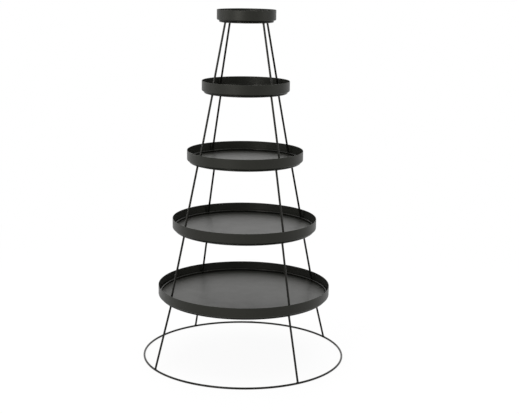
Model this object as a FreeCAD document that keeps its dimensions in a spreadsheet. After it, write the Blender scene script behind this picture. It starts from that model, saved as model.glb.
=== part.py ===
"""Tiered plant stand: five round trays on wire frames, stacked one in another.

Every tier is a welded unit: a pressed tray, a support ring under it, four
straight legs that splay outwards, and a foot ring.  The lowest foot ring stands
on the floor.  Every other foot ring drops into the tray beneath and rests on its
floor, close inside the rim, so a tier lifts straight off.

Millimetres, +Z up.  The origin is on the floor at the centre of the stand, and
the legs of the lowest tier stand on the diagonals.  Tier 1 is the lowest.
"""
import FreeCAD, Part
import os
import Sketcher

Vector = FreeCAD.Vector
UP = Vector(0, 0, 1)

# Driving dimensions, in millimetres.
SIZES = {
    "tray_diameter": 423.0,  # lowest tray, over its rim
    "tray_step": 70.5,  # each tray is this much smaller than the one beneath
    "base_ring_diameter": 500.0,  # foot ring on the floor, over the wire
    "base_height": 184.0,  # lowest tier, floor to rim
    "tier_height": 191.2,  # every other tier, underside of its foot ring to its rim
    "rim_height": 24.5,  # upright rim of a tray, from the underside of its floor
    "bend_radius": 3.0,  # bend between floor and rim, over its outside
    "sheet": 1.0,  # thickness of the sheet metal
    "wire_diameter": 5.0,  # rings and legs
    "ring_inset": 5.0,  # support ring to the outside of the tray over it
    "foot_clearance": 1.3,  # foot ring to the rim round it
    "seat_gap": 0.3,  # foot ring to the tray floor beneath it
}

# A bent wire is drawn with flats, so that ten long rings stay light.  With 6 or
# 10 of them a flat faces up and a flat faces down, where the pieces are welded.
COUNTS = {
    "wire_flats": 6,  # flats round the wire
    "ring_sides": 32,  # straight runs round a ring
}

# How far each tier stands turned in the tray beneath, in degrees, lowest first.
TURNS = (0.0, 0.4, 1.6, 5.8, 7.1)

LEGS = {"back_right": 45, "back_left": 135, "front_left": 225, "front_right": 315}

doc = FreeCAD.newDocument("PlantStand")
sheet = doc.addObject("Spreadsheet::Sheet", "Sizes")
turn_cells = {f"tier_{tier}_turn": turn for tier, turn in enumerate(TURNS, 1)}
for row, (name, value) in enumerate({**SIZES, **COUNTS, **turn_cells}.items(), 1):
    sheet.set(f"A{row}", name)
    sheet.set(f"B{row}", str(value))
    sheet.setAlias(f"B{row}", name)
doc.recompute()

# Radii and levels that the pieces share, as formulas in the sizes.  A level is
# counted from the underside of the tier's own foot ring.
WIRE_RADIUS = "Sizes.wire_diameter / 2"
WIRE_CORNER = f"{WIRE_RADIUS} / cos(180 deg / Sizes.wire_flats)"


def tray_radius(tier):
    return f"(Sizes.tray_diameter - {tier - 1} * Sizes.tray_step) / 2"


def support_ring_radius(tier):
    """The centre line of the support ring, under the outer part of the tray's floor."""
    return f"({tray_radius(tier)} - Sizes.ring_inset - {WIRE_RADIUS})"


def foot_ring_radius(tier):
    """The centre line of the foot ring, which fits inside the rim beneath it."""
    if tier == 1:
        return f"(Sizes.base_ring_diameter / 2 - {WIRE_RADIUS})"
    inside = f"{tray_radius(tier - 1)} - Sizes.sheet"
    return f"({inside} - Sizes.foot_clearance - {WIRE_RADIUS})"


def height(tier):
    return "Sizes.base_height" if tier == 1 else "Sizes.tier_height"


def tray_level(tier):
    """The underside of the tray's floor, which lies on the support ring."""
    return f"({height(tier)} - Sizes.rim_height)"


def support_ring_level(tier):
    return f"({tray_level(tier)} - Sizes.wire_diameter)"


def seat(tier):
    """The height above the floor at which a tier stands."""
    if tier == 1:
        return "0"
    pitch = "Sizes.tier_height - Sizes.rim_height + Sizes.sheet + Sizes.seat_gap"
    first = "Sizes.base_height - Sizes.rim_height + Sizes.sheet + Sizes.seat_gap"
    return f"({first} + {tier - 2} * ({pitch}))"


def bind(obj, **formulas):
    """Tie properties to the sizes: a double underscore stands for a dot."""
    for name, formula in formulas.items():
        obj.setExpression(name.replace("__", "."), formula)


def stand(obj, tier, level="0", angle=0):
    """Put a piece at its level in its tier, turned as the tier is turned."""
    obj.Placement = FreeCAD.Placement(Vector(), FreeCAD.Rotation(UP, 1))
    bind(
        obj,
        Placement__Base__z=f"({seat(tier)} + {level}) * 1 mm",
        Placement__Rotation__Angle=f"(Sizes.tier_{tier}_turn + {angle}) * 1 deg",
    )


def origin_plane(body, role):
    return next(plane for plane in body.Origin.OriginFeatures if plane.Role == role)


def bend_flat(radius):
    """A bend drawn as one flat at 45 degrees that touches its arc halfway round."""
    return f"(2 - sqrt(2)) * {radius}"


def tray(tier):
    """A pan of one sheet thickness: a flat floor, a bend and an upright rim.

    The feature that takes the most skill.  One profile, turned about the axis,
    carries the foot ring above on its floor, clear of the bend and close inside
    the rim, and lies with the same floor on the support ring.
    """
    body = doc.addObject("PartDesign::Body", f"tray_{tier}")
    profile = body.newObject("Sketcher::SketchObject", f"tray_{tier}_profile")
    profile.AttachmentSupport = [(origin_plane(body, "XZ_Plane"), "")]
    profile.MapMode = "FlatFace"

    # A rough outline in its true order, which the dimensions below pull to size.
    rim, top, skin, outer_flat, inner_flat = 70, 24, 1, 2, 1
    corners = (
        (0, 0),
        (rim - outer_flat, 0),
        (rim, outer_flat),
        (rim, top),
        (rim - skin, top),
        (rim - skin, skin + inner_flat),
        (rim - skin - inner_flat, skin),
        (0, skin),
    )
    axis_low, bend_low, bend_high, rim_top = range(4)
    rim_inside, inner_high, inner_low, axis_top = range(4, 8)
    count = len(corners)
    for number, corner in enumerate(corners):
        following = corners[(number + 1) % count]
        profile.addGeometry(Part.LineSegment(Vector(*corner, 0), Vector(*following, 0)))

    # Line n runs from corner n to the next one.
    for number in range(count):
        profile.addConstraint(
            Sketcher.Constraint("Coincident", number, 2, (number + 1) % count, 1)
        )
    for number in (axis_low, rim_top, inner_low):
        profile.addConstraint(Sketcher.Constraint("Horizontal", number))
    for number in (bend_high, rim_inside, axis_top):
        profile.addConstraint(Sketcher.Constraint("Vertical", number))
    profile.addConstraint(Sketcher.Constraint("Coincident", axis_low, 1, -1, 1))

    def dimension(kind, start, end, formula):
        low, high = corners[start], corners[end]
        rough = high[0] - low[0] if kind == "DistanceX" else high[1] - low[1]
        number = profile.addConstraint(
            Sketcher.Constraint(kind, start, 1, end, 1, float(rough))
        )
        profile.setExpression(f"Constraints[{number}]", f"({formula}) * 1 mm")

    dimension("DistanceX", axis_low, bend_high, tray_radius(tier))
    dimension("DistanceY", axis_low, rim_top, "Sizes.rim_height")
    dimension("DistanceX", rim_inside, rim_top, "Sizes.sheet")
    dimension("DistanceY", axis_low, axis_top, "Sizes.sheet")
    for kind in ("DistanceX", "DistanceY"):
        outer = bend_flat("Sizes.bend_radius")
        dimension(kind, bend_low, bend_high, outer)
        inner = bend_flat("(Sizes.bend_radius - Sizes.sheet)")
        dimension(kind, inner_low, inner_high, inner)

    pan = body.newObject("PartDesign::Revolution", f"tray_{tier}_pan")
    pan.Profile = profile
    pan.ReferenceAxis = (profile, ["V_Axis"])
    pan.Angle = 360
    stand(body, tier, tray_level(tier))
    return body


def wire_ring(label, tier, radius, level):
    """A wire bent round and butt-welded: its section is swept along the ring."""
    path = doc.addObject("Part::RegularPolygon", f"{label}_path")
    bind(path, Polygon="Sizes.ring_sides", Circumradius=f"{radius} * 1 mm")

    section = doc.addObject("Part::RegularPolygon", f"{label}_section")
    flat_down = FreeCAD.Rotation(UP, 180 / COUNTS["wire_flats"] - 90)
    upright = FreeCAD.Rotation(Vector(1, 0, 0), 90)
    section.Placement = FreeCAD.Placement(Vector(), upright * flat_down)
    bind(
        section,
        Polygon="Sizes.wire_flats",
        Circumradius=f"{WIRE_CORNER} * 1 mm",
        Placement__Base__x=f"{radius} * 1 mm",
    )

    ring = doc.addObject("Part::Sweep", label)
    ring.Sections = [section]
    edges = [f"Edge{number + 1}" for number in range(COUNTS["ring_sides"])]
    ring.Spine = (path, edges)
    ring.Transition = "Right corner"
    ring.Solid = True
    stand(ring, tier, f"{level} + {WIRE_RADIUS}")
    return ring


def leg(name, tier, angle):
    """A straight wire from the top of the foot ring to the support ring, cut level."""
    label = f"leg_{tier}_{name}"
    rise = f"({support_ring_level(tier)} - Sizes.wire_diameter)"
    lean = f"({support_ring_radius(tier)} - {foot_ring_radius(tier)})"

    section = doc.addObject("Part::RegularPolygon", f"{label}_section")
    bind(
        section,
        Polygon="Sizes.wire_flats",
        Circumradius=f"{WIRE_CORNER} * 1 mm",
        Placement__Base__x=f"{foot_ring_radius(tier)} * 1 mm",
    )

    wire = doc.addObject("Part::Extrusion", label)
    wire.Base = section
    wire.Solid = True
    wire.DirMode = "Custom"
    wire.Dir = UP
    bind(
        wire,
        Dir__x=lean,
        Dir__z=rise,
        LengthFwd=f"sqrt({lean} ^ 2 + {rise} ^ 2) * 1 mm",
    )
    stand(wire, tier, "Sizes.wire_diameter", angle)
    return wire


pieces = []
for tier in range(1, len(TURNS) + 1):
    foot = wire_ring(f"foot_ring_{tier}", tier, foot_ring_radius(tier), "0")
    support = wire_ring(
        f"support_ring_{tier}", tier, support_ring_radius(tier), support_ring_level(tier)
    )
    pieces += [tray(tier), support, foot]
    pieces += [leg(name, tier, angle) for name, angle in LEGS.items()]

doc.recompute()
failed = [obj.Label for obj in doc.Objects if {"Invalid", "Error"} & set(obj.State)]
failed += [obj.Label for obj in pieces if obj.Shape.isNull() or not obj.Shape.isValid()]
if failed:
    raise RuntimeError(f"these did not build: {failed}")

os.makedirs("parts", exist_ok=True)
for piece in pieces:
    piece.Shape.exportStep(f"parts/{piece.Label}.step")
print(f"{len(pieces)} pieces")
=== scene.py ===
"""The looks of the tiered plant stand: bent sheet-metal trays on smooth round wires,
all in satin black powder coat, on a white studio floor.

Metres, +Z up, the origin on the floor.  Every piece takes its size and place from
the node that it stands for, so it stays with the frame when a size changes.
"""
import math

import bpy
from mathutils import Matrix, Vector, noise


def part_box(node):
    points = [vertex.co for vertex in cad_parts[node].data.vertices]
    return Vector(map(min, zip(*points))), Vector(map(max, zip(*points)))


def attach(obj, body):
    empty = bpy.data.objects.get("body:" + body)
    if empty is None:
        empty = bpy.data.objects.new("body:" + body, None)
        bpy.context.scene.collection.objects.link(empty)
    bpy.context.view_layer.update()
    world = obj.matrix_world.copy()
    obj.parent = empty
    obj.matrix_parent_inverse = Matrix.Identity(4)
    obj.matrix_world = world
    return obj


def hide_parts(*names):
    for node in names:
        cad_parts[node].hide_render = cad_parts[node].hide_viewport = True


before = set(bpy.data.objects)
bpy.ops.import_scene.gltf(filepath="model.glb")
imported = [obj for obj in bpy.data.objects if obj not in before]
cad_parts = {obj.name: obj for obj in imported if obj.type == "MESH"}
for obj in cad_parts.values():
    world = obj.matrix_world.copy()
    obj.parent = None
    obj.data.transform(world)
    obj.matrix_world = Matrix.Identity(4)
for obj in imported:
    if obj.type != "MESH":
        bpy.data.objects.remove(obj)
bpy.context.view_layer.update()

TIERS = 5
LEGS = ("back_right", "back_left", "front_left", "front_right")
UP = Vector((0, 0, 1))

# Sizes that the boxes of the nodes don't give.
SHEET = 0.001  # thickness of the trays' sheet
BEND = 0.003  # bend radius between a tray's floor and its rim, over the outside
WIRE_FLATS = 6  # flats round the frame's faceted wires


# ---------------------------------------------------------------- meshes


def vertices_of(node):
    return [vertex.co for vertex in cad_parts[node].data.vertices]


def reach_of(node):
    """The greatest distance of a node from the stand's axis."""
    return max(math.hypot(point.x, point.y) for point in vertices_of(node))


def make_mesh(name, points, faces, normals=None):
    mesh = bpy.data.meshes.new(name)
    mesh.from_pydata(points, [], faces)
    mesh.validate()
    mesh.polygons.foreach_set("use_smooth", [True] * len(mesh.polygons))
    if normals:
        mesh.normals_split_custom_set_from_vertices(normals)
    mesh.update()
    piece = bpy.data.objects.new(name, mesh)
    bpy.context.scene.collection.objects.link(piece)
    return piece


def arc(centre, radius, start, end, steps):
    """Points and normals of an arc, angles in degrees, in (radius, height).

    The normals point away from the centre, or towards it where the radius is negative.
    """
    out = []
    side = 1 if radius > 0 else -1
    for step in range(steps + 1):
        angle = math.radians(start + (end - start) * step / steps)
        way = (math.cos(angle), math.sin(angle))
        point = (centre[0] + abs(radius) * way[0], centre[1] + abs(radius) * way[1])
        out.append((point, (side * way[0], side * way[1])))
    return out


def revolve(name, profile, sides):
    """Turns a closed profile about the axis; its first and last points are on it."""
    low, high = profile[0], profile[-1]
    points = [(0, 0, low[0][1]), (0, 0, high[0][1])]
    normals = [(0, 0, low[1][1]), (0, 0, high[1][1])]
    circles = profile[1:-1]
    for (radius, level), (out, rise) in circles:
        for side in range(sides):
            angle = 2 * math.pi * side / sides
            cosine, sine = math.cos(angle), math.sin(angle)
            points.append((radius * cosine, radius * sine, level))
            normals.append((out * cosine, out * sine, rise))

    def corner(row, side):
        return 2 + row * sides + side % sides

    faces = []
    last = len(circles) - 1
    for side in range(sides):
        faces.append((0, corner(0, side + 1), corner(0, side)))
        faces.append((1, corner(last, side), corner(last, side + 1)))
        for row in range(last):
            faces.append(
                (
                    corner(row, side),
                    corner(row, side + 1),
                    corner(row + 1, side + 1),
                    corner(row + 1, side),
                )
            )
    return make_mesh(name, points, faces, normals)


def strip(sides, row, following):
    """The quads between two rows of points, each row a closed loop."""
    quads = []
    for side in range(sides):
        beside = (side + 1) % sides
        quads.append(
            (
                row * sides + side,
                row * sides + beside,
                following * sides + beside,
                following * sides + side,
            )
        )
    return quads


def tube(name, path, radii, sides, closed, across):
    """A round tube along a path; across gives each point's first cross direction."""
    count = len(path)
    points, faces = [], []
    for index, (point, radius) in enumerate(zip(path, radii)):
        if closed:
            before, after = path[index - 1], path[(index + 1) % count]
        else:
            before, after = path[max(index - 1, 0)], path[min(index + 1, count - 1)]
        along = (after - before).normalized()
        first = across[index]
        first = (first - along * first.dot(along)).normalized()
        second = along.cross(first)
        for side in range(sides):
            angle = 2 * math.pi * side / sides
            spoke = first * math.cos(angle) + second * math.sin(angle)
            points.append(point + spoke * radius)
    for index in range(count if closed else count - 1):
        faces += strip(sides, index, (index + 1) % count)
    if not closed:
        faces.append(tuple(reversed(range(sides))))
        faces.append(tuple((count - 1) * sides + side for side in range(sides)))
    return make_mesh(name, points, faces)


def join(name, pieces):
    """One mesh from several."""
    points, faces = [], []
    for piece in pieces:
        start = len(points)
        points += [vertex.co.copy() for vertex in piece.data.vertices]
        faces += [[start + v for v in face.vertices] for face in piece.data.polygons]
        bpy.data.objects.remove(piece)
    return make_mesh(name, points, faces)


# ---------------------------------------------------------------- materials

# Scale per metre and detail of the patches in the coat.
COLOUR_PATCHES = (9, 4)
SHEEN_PATCHES = (35, 3)
# The same for its relief, then strength and depth.
ORANGE_PEEL = (420, 2, 0.35, 0.0002)
GRAIN = (2600, 1, 0.3, 0.00005)
ALL_DARK, ALL_LIGHT = 0.3, 0.7  # where in the patches' noise each colour is reached
SHEEN_RANGE = 0.04  # how far the roughness goes to either side
REFLECTION_TINT = (1, 0.985, 0.9, 1)  # a trace of warmth in what the coat reflects


def powder_coat(name, dark, light, roughness, specular):
    """Satin powder coat: a nearly black colour, orange peel and a fine grain."""
    material = bpy.data.materials.new(name)
    material.use_nodes = True
    nodes, links = material.node_tree.nodes, material.node_tree.links
    nodes.clear()
    where = nodes.new("ShaderNodeTexCoord").outputs["Object"]

    def clouds(scale, detail):
        node = nodes.new("ShaderNodeTexNoise")
        node.inputs["Scale"].default_value = scale
        node.inputs["Detail"].default_value = detail
        links.new(where, node.inputs["Vector"])
        return node.outputs["Fac"]

    def relief(scale, detail, strength, depth):
        node = nodes.new("ShaderNodeBump")
        node.inputs["Strength"].default_value = strength
        node.inputs["Distance"].default_value = depth
        links.new(clouds(scale, detail), node.inputs["Height"])
        return node

    colours = nodes.new("ShaderNodeValToRGB")
    colours.color_ramp.elements[0].position = ALL_DARK
    colours.color_ramp.elements[0].color = (*dark, 1)
    colours.color_ramp.elements[1].position = ALL_LIGHT
    colours.color_ramp.elements[1].color = (*light, 1)
    links.new(clouds(*COLOUR_PATCHES), colours.inputs["Fac"])

    satin = nodes.new("ShaderNodeMapRange")
    satin.inputs["To Min"].default_value = roughness - SHEEN_RANGE
    satin.inputs["To Max"].default_value = roughness + SHEEN_RANGE
    links.new(clouds(*SHEEN_PATCHES), satin.inputs["Value"])

    peel = relief(*ORANGE_PEEL)
    grain = relief(*GRAIN)
    links.new(peel.outputs["Normal"], grain.inputs["Normal"])

    shader = nodes.new("ShaderNodeBsdfPrincipled")
    shader.inputs["Specular IOR Level"].default_value = specular
    shader.inputs["Specular Tint"].default_value = REFLECTION_TINT
    links.new(colours.outputs["Color"], shader.inputs["Base Color"])
    links.new(satin.outputs["Result"], shader.inputs["Roughness"])
    links.new(grain.outputs["Normal"], shader.inputs["Normal"])
    surface = nodes.new("ShaderNodeOutputMaterial")
    links.new(shader.outputs["BSDF"], surface.inputs["Surface"])
    return material


COAT_SHEET = powder_coat(
    "powder_coat_sheet",
    dark=(0.0066, 0.0071, 0.0056),
    light=(0.0088, 0.0094, 0.0074),
    roughness=0.42,
    specular=0.25,
)
COAT_WIRE = powder_coat(
    "powder_coat_wire",
    dark=(0.0030, 0.0032, 0.0026),
    light=(0.0042, 0.0045, 0.0037),
    roughness=0.24,
    specular=0.18,
)


def finish_piece(piece, tier, slot, material, *nodes):
    """Gives a piece its finish and its place in the frame."""
    piece.data.materials.append(material)
    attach(piece, f"tier_{tier}")
    if nodes:
        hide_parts(*nodes)


# ---------------------------------------------------------------- trays

EDGE = 0.00045  # rounding of the cut edge at the top of the rim
TRAY_SIDES = 192
OUTER_BEND_STEPS, INNER_BEND_STEPS, EDGE_STEPS = 7, 5, 3
FLOOR_CIRCLES = (0.3, 0.6, 0.85)  # in shares of the radius of the flat floor
RIM_CIRCLES = (0.4, 0.7)  # in shares of the height of the rim


def tray(tier):
    """The bent pan, an even sheet in thickness."""
    node = f"tray_{tier}"
    low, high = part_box(node)
    base, top, rim = low.z, high.z, reach_of(node)
    inside, flat = rim - SHEET, rim - BEND
    levels = [base + share * (top - base) for share in RIM_CIRCLES]
    floor_radii = [flat * share for share in FLOOR_CIRCLES]

    profile = [((0, base), (0, -1))]
    profile += [((radius, base), (0, -1)) for radius in floor_radii]
    profile += arc((flat, base + BEND), BEND, -90, 0, OUTER_BEND_STEPS)
    profile += [((rim, level), (1, 0)) for level in levels]
    profile += arc((rim - EDGE, top - EDGE), EDGE, 0, 90, EDGE_STEPS)
    profile += arc((inside + EDGE, top - EDGE), EDGE, 90, 180, EDGE_STEPS)
    profile += [((inside, level), (-1, 0)) for level in reversed(levels)]
    profile += arc((flat, base + BEND), -(BEND - SHEET), 0, -90, INNER_BEND_STEPS)
    profile += [((radius, base + SHEET), (0, 1)) for radius in reversed(floor_radii)]
    profile += [((0, base + SHEET), (0, 1))]
    piece = revolve(f"{node}_pan", profile, TRAY_SIDES)
    finish_piece(piece, tier, "tray_sheet", COAT_SHEET, node)


# ---------------------------------------------------------------- rings

RING_SIDES = 16  # points round a ring's wire
RING_STEPS = 96  # points along a ring, to which its radius adds
ADDED_STEPS, ADDED_EVERY = 16, 0.05  # so many more for so much radius
WELD_SWELL = 0.00025  # how far a ring's butt weld stands proud; it is ground flat beneath
WELD_LENGTH = 0.004
RING_SEAM = math.radians(98)  # the butt welds are turned to the back


def ring_line(node):
    """Centre radius, centre level and wire radius of a ring."""
    low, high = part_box(node)
    wire = (high.z - low.z) / 2
    return reach_of(node) - wire / math.cos(math.pi / WIRE_FLATS), low.z + wire, wire


def ring(node, tier):
    """A wire bent round and butt-welded."""
    radius, level, wire = ring_line(node)
    count = RING_STEPS + ADDED_STEPS * round(radius / ADDED_EVERY)
    path, radii, across = [], [], []
    for step in range(count):
        angle = 2 * math.pi * step / count
        way = Vector((math.cos(angle), math.sin(angle), 0))
        off = (angle - RING_SEAM) * radius / WELD_LENGTH
        swell = WELD_SWELL * math.exp(-off * off)
        path.append(way * radius + UP * (level + swell))
        radii.append(wire + swell)
        across.append(way)
    piece = tube(f"{node}_wire", path, radii, RING_SIDES, True, across)
    finish_piece(piece, tier, "wire", COAT_WIRE, node)


# ---------------------------------------------------------------- legs and welds

LEG_SIDES = 24
LEG_ROWS = (0.02, 0.35, 0.65, 0.98)  # rows of points along a leg, in shares of its length
COPE_START = 0.012  # the cut is looked for from this far short of a ring's centre
COPE_STEPS = 12  # steps to one wire radius of that search
COPE_REACH = 6  # wire radii that it goes on for
COPE_BITE = 0.0002  # a leg's end lies this far in the ring's wire, as welded

BEAD_SIDES = 8
BEAD_RADIUS = 0.0011
BEAD_RIPPLE = 0.18  # share of its radius that a bead varies by
RIPPLE_SCALE = 900  # of the ripple's noise, per metre

TACKS = 8  # short welds between each support ring and its tray
TACK_LENGTH = 0.011
TACK_RADIUS = 0.00095
TACK_INSET, TACK_RISE = 0.72, 0.62  # from the ring's centre line, in wire radii
TACK_STEPS = 10
TACK_END = 0.02  # share that keeps the ends from closing to a point


def leg_ends(tier, name):
    """The two points on the rings' centre lines that a leg joins, and its way outwards."""
    points = vertices_of(f"leg_{tier}_{name}")
    middle = sum(points, Vector()) / len(points)
    way = Vector((middle.x, middle.y, 0)).normalized()
    ends = []
    for node in (f"foot_ring_{tier}", f"support_ring_{tier}"):
        radius, level, _ = ring_line(node)
        ends.append(way * radius + UP * level)
    return ends, way


def cope(start, along, radius, level, wire):
    """How far a line runs on before it meets a ring's wire, or comes nearest to it."""

    def gap(run):
        point = start + along * run
        return math.hypot(math.hypot(point.x, point.y) - radius, point.z - level) - wire

    step = wire / COPE_STEPS
    best, best_gap = 0.0, gap(0.0)
    run = 0.0
    while run < COPE_REACH * wire:
        run += step
        here = gap(run)
        if here < best_gap:
            best, best_gap = run, here
        if here <= 0:
            return run
    return best


def leg(tier, name):
    """A straight wire, coped to both rings.  Gives the weld bead round each end."""
    node = f"leg_{tier}_{name}"
    (foot, head), way = leg_ends(tier, name)
    wire = ring_line(f"foot_ring_{tier}")[2]
    axis = (head - foot).normalized()
    tangent = UP.cross(way)
    first = (way - axis * way.dot(axis)).normalized()
    turns = [2 * math.pi * side / LEG_SIDES for side in range(LEG_SIDES)]
    spokes = [first * math.cos(turn) + tangent * math.sin(turn) for turn in turns]

    loops = []
    for ring_node, centre, along in (
        (f"foot_ring_{tier}", foot, -axis),
        (f"support_ring_{tier}", head, axis),
    ):
        radius, level, ring_wire = ring_line(ring_node)
        loop = []
        for spoke in spokes:
            start = centre - along * COPE_START + spoke * wire
            run = cope(start, along, radius, level, ring_wire)
            loop.append(start + along * run)
        loops.append(loop)

    low_loop, high_loop = loops
    rows = [[point - axis * COPE_BITE for point in low_loop]]
    for share in LEG_ROWS:
        rows.append([low.lerp(high, share) for low, high in zip(low_loop, high_loop)])
    rows.append([point + axis * COPE_BITE for point in high_loop])

    points = [point for row in rows for point in row]
    faces = []
    last = len(rows) - 1
    for row in range(last):
        faces += strip(LEG_SIDES, row, row + 1)
    for row in (0, last):
        points.append(sum(rows[row], Vector()) / LEG_SIDES)
        middle = len(points) - 1
        for side in range(LEG_SIDES):
            pair = (row * LEG_SIDES + side, row * LEG_SIDES + (side + 1) % LEG_SIDES)
            faces.append((middle, *(reversed(pair) if row == 0 else pair)))
    piece = make_mesh(f"{node}_wire", points, faces)
    finish_piece(piece, tier, "wire", COAT_WIRE, node)
    return [bead(f"{node}_bead", loop, spokes) for loop in loops]


def bead(name, loop, spokes):
    """A fillet of weld metal along a closed line, a little uneven."""
    path, radii = [], []
    for index, point in enumerate(loop):
        neighbours = loop[index - 1] + loop[(index + 1) % len(loop)]
        path.append((point * 2 + neighbours) / 4)
        ripple = noise.noise(point * RIPPLE_SCALE)
        radii.append(BEAD_RADIUS * (1 + BEAD_RIPPLE * ripple))
    return tube(name, path, radii, BEAD_SIDES, True, spokes)


def tack(tier, number):
    """A short weld in the nook between the support ring and the tray's underside."""
    radius, level, wire = ring_line(f"support_ring_{tier}")
    _, way = leg_ends(tier, LEGS[0])
    middle = math.atan2(way.y, way.x) + math.pi / TACKS + 2 * math.pi * number / TACKS
    tack_radius, height = radius - wire * TACK_INSET, level + wire * TACK_RISE
    path, radii = [], []
    for step in range(TACK_STEPS + 1):
        share = 2 * step / TACK_STEPS - 1
        angle = middle + share * TACK_LENGTH / 2 / radius
        out = Vector((math.cos(angle), math.sin(angle), 0))
        path.append(out * tack_radius + UP * height)
        ripple = noise.noise(path[-1] * RIPPLE_SCALE)
        taper = math.sqrt(max(1 - share * share, TACK_END))
        radii.append(TACK_RADIUS * taper * (1 + BEAD_RIPPLE * ripple))
    across = [UP] * len(path)
    return tube(f"tier_{tier}_tack_{number}", path, radii, BEAD_SIDES, False, across)


def build_stand():
    for tier in range(1, TIERS + 1):
        tray(tier)
        ring(f"support_ring_{tier}", tier)
        ring(f"foot_ring_{tier}", tier)
        welds = []
        for name in LEGS:
            welds += leg(tier, name)
        welds += [tack(tier, number) for number in range(TACKS)]
        piece = join(f"tier_{tier}_welds", welds)
        finish_piece(piece, tier, "wire", COAT_WIRE)


# ---------------------------------------------------------------- studio

WHITE = (1, 1, 1, 1)
FLOOR_SIZE = 16.0
FLOOR_LEVEL = -0.0003  # a trace below the foot ring
FLOOR_SHADE = 0.08  # share of the floor's white that comes from the lamps and can be shaded
NEAR_FLOOR, FAR_FLOOR = 0.45, 1.6  # from the axis; past the second the floor is plain white
FLOOR_LIT = (0.92, 0.92, 0.92, 1)  # where the lamps light the floor that is seen
FLOOR_BOUNCE = (0.8, 0.8, 0.8, 1)  # where it sheds light on the stand
WORLD_LIGHT = 0.6  # what the white surroundings shed on the stand

# Name, place, what it points at, side of its square and watts.
SOFTBOXES = (
    ("overhead", (0, 0.2, 2.6), (0, 0, 0.4), 2.4, 34),
    ("front", (-0.9, -3.0, 1.6), (0, 0, 0.7), 1.0, 43),
    ("low", (-1.6, -2.6, 0.4), (0, 0, 0.4), 1.3, 4.2),
    ("left", (-2.75, -0.8, 1.2), (0, 0, 0.5), 1.6, 10),
    ("right", (2.9, -0.2, 1.3), (0, 0, 0.45), 1.6, 9),
    ("back_high", (-0.5, 2.2, 2.6), (0, 0, 0.45), 1.8, 13.2),
    ("back_low", (-0.6, 3.0, 1.3), (0, 0, 0.45), 1.8, 5.5),
)

# The camera that the photograph's ellipses and legs agree with.
PHOTO_WIDTH = 519  # pixels
FOCAL_PIXELS = 1136.8
CAMERA_DISTANCE = 2.7263  # level distance from the stand's axis
CAMERA_HEIGHT = 0.9690
CAMERA_AZIMUTH = 13.55  # degrees, towards +X from straight ahead
CAMERA_PITCH = 12.22  # degrees below level
CAMERA_YAW = 0.77  # degrees that it looks to the right of the axis
CAMERA_ROLL = 0.76
CAMERA_SIGHT = 60  # how far it sees


def seen_ray(nodes, links):
    """1 for camera, glossy and transmission rays, which show the white studio."""
    path = nodes.new("ShaderNodeLightPath")
    total = path.outputs["Is Camera Ray"]
    for kind in ("Is Glossy Ray", "Is Transmission Ray"):
        highest = nodes.new("ShaderNodeMath")
        highest.operation = "MAXIMUM"
        links.new(total, highest.inputs[0])
        links.new(path.outputs[kind], highest.inputs[1])
        total = highest.outputs[0]
    return total


def studio_floor():
    """A white floor whose seen light is partly its own, so that a soft shadow stays."""
    half = FLOOR_SIZE / 2
    corners = ((-1, -1), (1, -1), (1, 1), (-1, 1))
    points = [(x * half, y * half, FLOOR_LEVEL) for x, y in corners]
    floor = make_mesh("studio_floor", points, [(0, 1, 2, 3)])
    material = bpy.data.materials.new("studio_white")
    material.use_nodes = True
    nodes, links = material.node_tree.nodes, material.node_tree.links
    nodes.clear()

    place = nodes.new("ShaderNodeTexCoord")
    length = nodes.new("ShaderNodeVectorMath")
    length.operation = "LENGTH"
    links.new(place.outputs["Object"], length.inputs[0])
    shade = nodes.new("ShaderNodeMapRange")
    shade.interpolation_type = "SMOOTHSTEP"
    shade.inputs["From Min"].default_value = NEAR_FLOOR
    shade.inputs["From Max"].default_value = FAR_FLOOR
    shade.inputs["To Min"].default_value = FLOOR_SHADE
    shade.inputs["To Max"].default_value = 0.0
    links.new(length.outputs["Value"], shade.inputs["Value"])

    lit = nodes.new("ShaderNodeBsdfDiffuse")
    lit.inputs["Color"].default_value = FLOOR_LIT
    own = nodes.new("ShaderNodeEmission")
    own.inputs["Color"].default_value = WHITE
    seen = nodes.new("ShaderNodeMixShader")
    links.new(shade.outputs["Result"], seen.inputs["Fac"])
    links.new(own.outputs["Emission"], seen.inputs[1])
    links.new(lit.outputs["BSDF"], seen.inputs[2])
    bounce = nodes.new("ShaderNodeBsdfDiffuse")
    bounce.inputs["Color"].default_value = FLOOR_BOUNCE
    whole = nodes.new("ShaderNodeMixShader")
    links.new(seen_ray(nodes, links), whole.inputs["Fac"])
    links.new(bounce.outputs["BSDF"], whole.inputs[1])
    links.new(seen.outputs["Shader"], whole.inputs[2])
    surface = nodes.new("ShaderNodeOutputMaterial")
    links.new(whole.outputs["Shader"], surface.inputs["Surface"])
    floor.data.materials.append(material)


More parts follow.
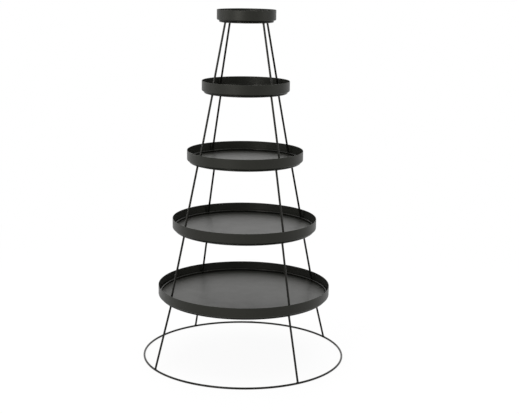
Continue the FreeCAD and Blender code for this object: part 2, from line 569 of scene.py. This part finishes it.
def studio_world():
    world = bpy.data.worlds.new("studio")
    bpy.context.scene.world = world
    world.use_nodes = True
    nodes, links = world.node_tree.nodes, world.node_tree.links
    nodes.clear()
    strength = nodes.new("ShaderNodeMapRange")
    strength.inputs["To Min"].default_value = WORLD_LIGHT
    strength.inputs["To Max"].default_value = 1.0
    links.new(seen_ray(nodes, links), strength.inputs["Value"])
    background = nodes.new("ShaderNodeBackground")
    background.inputs["Color"].default_value = WHITE
    links.new(strength.outputs["Result"], background.inputs["Strength"])
    output = nodes.new("ShaderNodeOutputWorld")
    links.new(background.outputs["Background"], output.inputs["Surface"])


def softbox(name, place, target, size, power):
    lamp = bpy.data.lights.new(name, "AREA")
    lamp.shape = "SQUARE"
    lamp.size = size
    lamp.energy = power
    holder = bpy.data.objects.new(name, lamp)
    bpy.context.scene.collection.objects.link(holder)
    holder.location = place
    holder.rotation_mode = "QUATERNION"
    holder.rotation_quaternion = (Vector(target) - Vector(place)).to_track_quat("-Z", "Y")
    holder.visible_camera = False


def camera():
    """Stands where the photograph was taken from."""
    turn = Matrix.Rotation(math.radians(CAMERA_AZIMUTH), 3, "Z")
    pitch, yaw = math.radians(CAMERA_PITCH), math.radians(CAMERA_YAW)
    roll = math.radians(CAMERA_ROLL)
    forward = turn @ Vector(
        (math.sin(yaw) * math.cos(pitch), math.cos(yaw) * math.cos(pitch), -math.sin(pitch))
    )
    level = turn @ Vector((math.cos(yaw), -math.sin(yaw), 0))
    above = level.cross(forward)
    right = level * math.cos(roll) + above * math.sin(roll)
    up = above * math.cos(roll) - level * math.sin(roll)

    data = bpy.data.cameras.new("camera")
    data.sensor_fit = "HORIZONTAL"
    data.lens = FOCAL_PIXELS / PHOTO_WIDTH * data.sensor_width
    data.clip_end = CAMERA_SIGHT
    holder = bpy.data.objects.new("camera", data)
    bpy.context.scene.collection.objects.link(holder)
    axes = Matrix((right, up, -forward)).transposed().to_4x4()
    place = turn @ Vector((0, -CAMERA_DISTANCE, CAMERA_HEIGHT))
    holder.matrix_world = Matrix.Translation(place) @ axes
    bpy.context.scene.camera = holder


build_stand()
studio_floor()
studio_world()
for box in SOFTBOXES:
    softbox(*box)
camera()
bpy.context.scene.view_settings.view_transform = "Standard"
